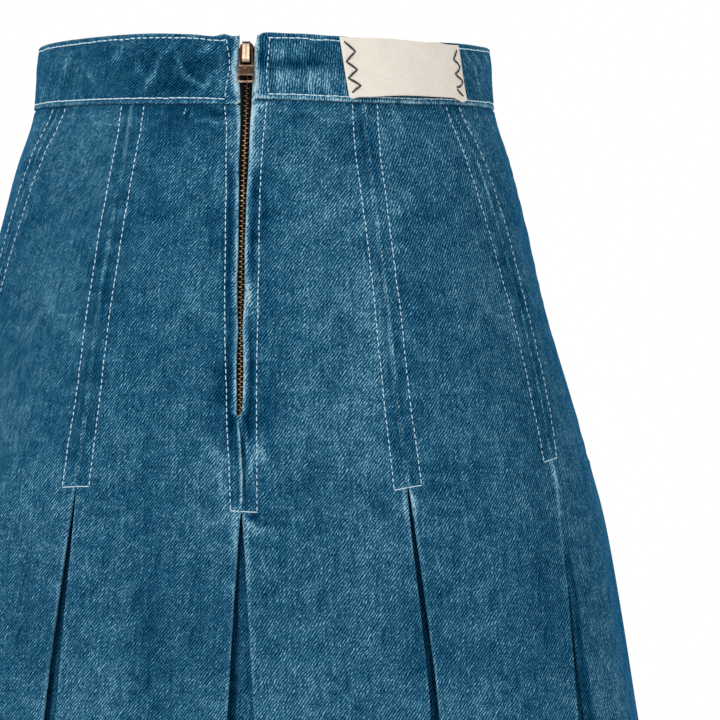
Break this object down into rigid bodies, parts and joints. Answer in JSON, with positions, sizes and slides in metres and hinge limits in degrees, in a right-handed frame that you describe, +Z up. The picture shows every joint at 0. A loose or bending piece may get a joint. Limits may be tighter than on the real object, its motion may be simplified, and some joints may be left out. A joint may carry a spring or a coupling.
{
  "type": "denim skirt",
  "caption": "A-line denim skirt with inverted pleats stitched down to the high hip, a curved waistband, a bare label and an exposed metal zip with a pull tab at the centre back.",
  "frame": {"origin": "centre of the waist, half way up the waistband", "axes": "+Z up through the waist, -Y out of the centre back where the zip is, +X to the wearer's right"},
  "size_m": [0.424, 0.2779, 0.4516],
  "materials": {
    "denim": "washed mid-blue right-hand twill with pale wear on its edges",
    "label_cotton": "cream plain-weave cotton",
    "zip_tape": "dark woven zip tape",
    "zip_metal": "antique brass, rubbed bright on its high places"
  },
  "bodies": {
    "skirt": {"waistband": "denim", "gore_1": "denim", "gore_2": "denim", "gore_3": "denim", "gore_4": "denim", "gore_5": "denim", "gore_6": "denim", "gore_7": "denim", "gore_8": "denim", "gore_9": "denim", "gore_10": "denim", "gore_11": "denim", "underlay_left_front": "denim", "underlay_left_side_front": "denim", "underlay_left_side": "denim", "underlay_left_side_back": "denim", "underlay_left_back": "denim", "underlay_centre_back": "denim", "underlay_right_back": "denim", "underlay_right_side_back": "denim", "underlay_right_side": "denim", "underlay_right_side_front": "denim", "underlay_right_front": "denim", "label": "label_cotton", "zip_tape_left": "zip_tape", "zip_tape_right": "zip_tape", "zip_chain": "zip_metal", "slider": "zip_metal"},
    "pull_tab": {"pull_tab": "zip_metal"}
  },
  "joints": [
    {"name": "tab_hinge", "type": "hinge", "parent": "skirt", "child": "pull_tab", "pos_m": [0, -0.0962, 0.01221], "axis": [-1, 0, 0], "range_deg": [0, 150]}
  ]
}
